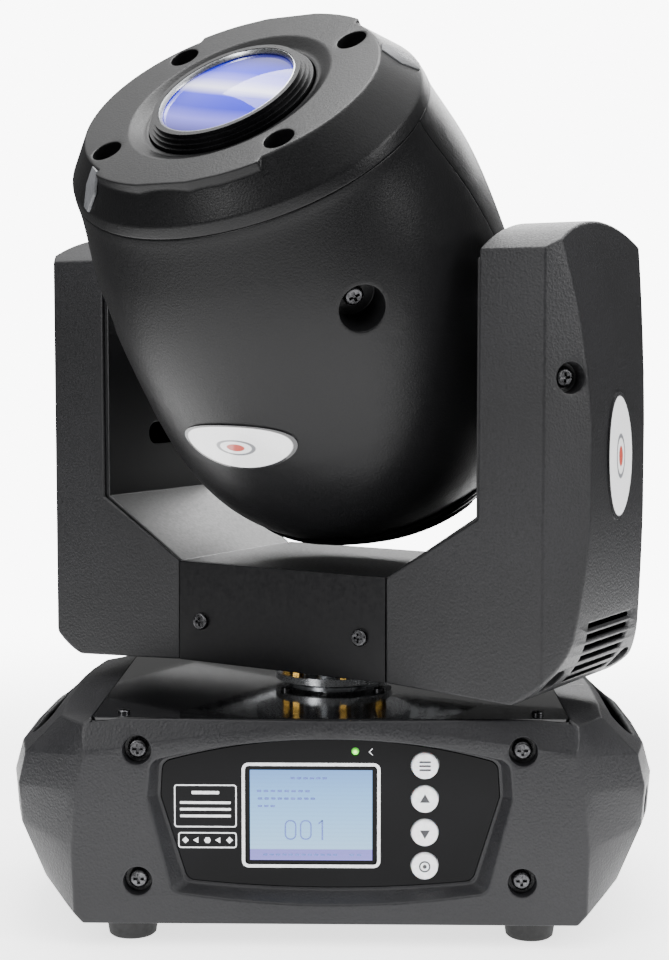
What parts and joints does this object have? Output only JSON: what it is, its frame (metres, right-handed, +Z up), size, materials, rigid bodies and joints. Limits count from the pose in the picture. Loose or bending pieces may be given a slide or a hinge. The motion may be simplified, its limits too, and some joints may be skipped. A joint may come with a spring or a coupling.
{
  "type": "moving head light",
  "caption": "Moving head stage light: facetted base with colour display, panning yoke and tilting barrel head with a large coated lens.",
  "frame": {"origin": "on the floor under the pan axis, at the centre of the four feet", "axes": "+Z up along the pan axis, -Y towards the display side, +X to the right seen from the display side"},
  "size_m": [0.317, 0.2565, 0.4421],
  "materials": {
    "moulded_shell": "fine spark textured black moulding",
    "gloss_fascia": "polished black acrylic",
    "black_steel": "gloss black powder coat",
    "plated_steel": "zinc plated",
    "black_screw": "black zinc plated",
    "brass": "turned",
    "foot_rubber": "moulded",
    "belt_rubber": "moulded with teeth",
    "white_button": "moulded white",
    "screen": "lit colour screen",
    "green_lens": "clear green",
    "badge_white": "printed white",
    "circuit_board": "solder mask green",
    "motor_black": "lacquered black",
    "aluminium": "machined",
    "barrel_black": "satin black anodised",
    "coated_glass": "violet blue anti reflection coating",
    "filter_glass": "stamped wheel with dichroic filters"
  },
  "bodies": {
    "base": {"base_front_cover": "moulded_shell", "base_rear_cover": "moulded_shell", "base_tray": "black_steel", "base_feet": "foot_rubber", "base_top_plate": "black_steel", "base_screws": "black_screw", "display_fascia": "gloss_fascia", "lcd_module": "screen", "display_board": "circuit_board", "status_led": "green_lens", "power_supply": "plated_steel", "control_board": "circuit_board", "pan_motor": "motor_black", "pan_belt": "belt_rubber", "pan_bearing": "plated_steel", "rear_panel": "black_steel", "power_inlet": "motor_black", "dmx_input": "motor_black", "dmx_output": "motor_black", "fuse_holder": "motor_black", "switch_frame": "motor_black", "safety_eye": "plated_steel"},
    "menu_key": {"menu_button": "white_button"},
    "up_key": {"up_button": "white_button"},
    "down_key": {"down_button": "white_button"},
    "enter_key": {"enter_button": "white_button"},
    "power_switch": {"power_rocker": "motor_black"},
    "pan_drive": {"pan_motor_pulley": "aluminium"},
    "yoke": {"yoke_frame": "black_steel", "yoke_base_plate": "plated_steel", "yoke_centre_plates": "moulded_shell", "right_arm_cover": "moulded_shell", "left_arm_cover": "moulded_shell", "yoke_screws": "black_screw", "pan_shaft": "aluminium", "pan_pulley": "aluminium", "hub_studs": "brass", "tilt_bearings": "plated_steel", "tilt_motor": "motor_black", "tilt_belt": "belt_rubber", "arm_badges": "badge_white"},
    "tilt_drive": {"tilt_motor_pulley": "aluminium"},
    "head": {"head_bezel": "moulded_shell", "head_front_shell": "moulded_shell", "head_rear_shell": "moulded_shell", "head_screws": "black_screw", "head_badge": "badge_white", "head_chassis": "plated_steel", "tilt_shafts": "aluminium", "tilt_pulley": "aluminium", "lens_barrel": "barrel_black", "front_lens": "coated_glass", "focus_rods": "plated_steel", "led_engine": "aluminium", "heat_sink": "aluminium", "fan_frame": "motor_black"},
    "focus": {"focus_carriage": "aluminium"},
    "fan": {"fan_impeller": "motor_black"},
    "colours": {"colour_wheel": "filter_glass"},
    "gobos": {"gobo_wheel": "filter_glass"}
  },
  "joints": [
    {"name": "pan", "type": "hinge", "parent": "base", "child": "yoke", "pos_m": [0, 0, 0.12], "axis": [0, 0, 1], "range_deg": [-239, 301]},
    {"name": "tilt", "type": "hinge", "parent": "yoke", "child": "head", "pos_m": [0, 0, 0.289], "axis": [0.8572, -0.515, 0], "range_deg": [-145, 65]},
    {"name": "pan_motor_turn", "type": "hinge", "parent": "base", "child": "pan_drive", "pos_m": [0.062, 0.02, 0.057], "axis": [0, 0, 1], "range_deg": [-1440, 1812]},
    {"name": "tilt_motor_turn", "type": "hinge", "parent": "yoke", "child": "tilt_drive", "pos_m": [0.108, -0.06489, 0.151], "axis": [0.8572, -0.515, 0], "range_deg": [-730, 330]},
    {"name": "menu_press", "type": "slide", "parent": "base", "child": "menu_key", "axis": [0, 1, 0], "range_m": [0, 0.0008], "stiffness_N_per_m": 600, "springref_m": -0.0006},
    {"name": "up_press", "type": "slide", "parent": "base", "child": "up_key", "axis": [0, 1, 0], "range_m": [0, 0.0008], "stiffness_N_per_m": 600, "springref_m": -0.0006},
    {"name": "down_press", "type": "slide", "parent": "base", "child": "down_key", "axis": [0, 1, 0], "range_m": [0, 0.0008], "stiffness_N_per_m": 600, "springref_m": -0.0006},
    {"name": "enter_press", "type": "slide", "parent": "base", "child": "enter_key", "axis": [0, 1, 0], "range_m": [0, 0.0008], "stiffness_N_per_m": 600, "springref_m": -0.0006},
    {"name": "power_rock", "type": "hinge", "parent": "base", "child": "power_switch", "pos_m": [-0.02, 0.0942, 0.066], "axis": [0, 0, 1], "range_deg": [-16, 0]},
    {"name": "focus_slide", "type": "slide", "parent": "head", "child": "focus", "axis": [-0.3311, -0.551, 0.766], "range_m": [-0.008, 0.028]},
    {"name": "fan_spin", "type": "hinge", "parent": "head", "child": "fan", "pos_m": [0.02483, 0.04132, 0.23155], "axis": [-0.3311, -0.551, 0.766], "continuous": true},
    {"name": "colour_wheel_turn", "type": "hinge", "parent": "head", "child": "colours", "pos_m": [0.00972, 0.01618, 0.31006], "axis": [-0.3311, -0.551, 0.766], "continuous": true},
    {"name": "gobo_wheel_turn", "type": "hinge", "parent": "head", "child": "gobos", "pos_m": [-0.01535, -0.02555, 0.28096], "axis": [-0.3311, -0.551, 0.766], "continuous": true}
  ],
  "couplings": [
    {"joint": "pan_motor_turn", "follows": "pan", "ratio": 6},
    {"joint": "tilt_motor_turn", "follows": "tilt", "ratio": 5}
  ]
}
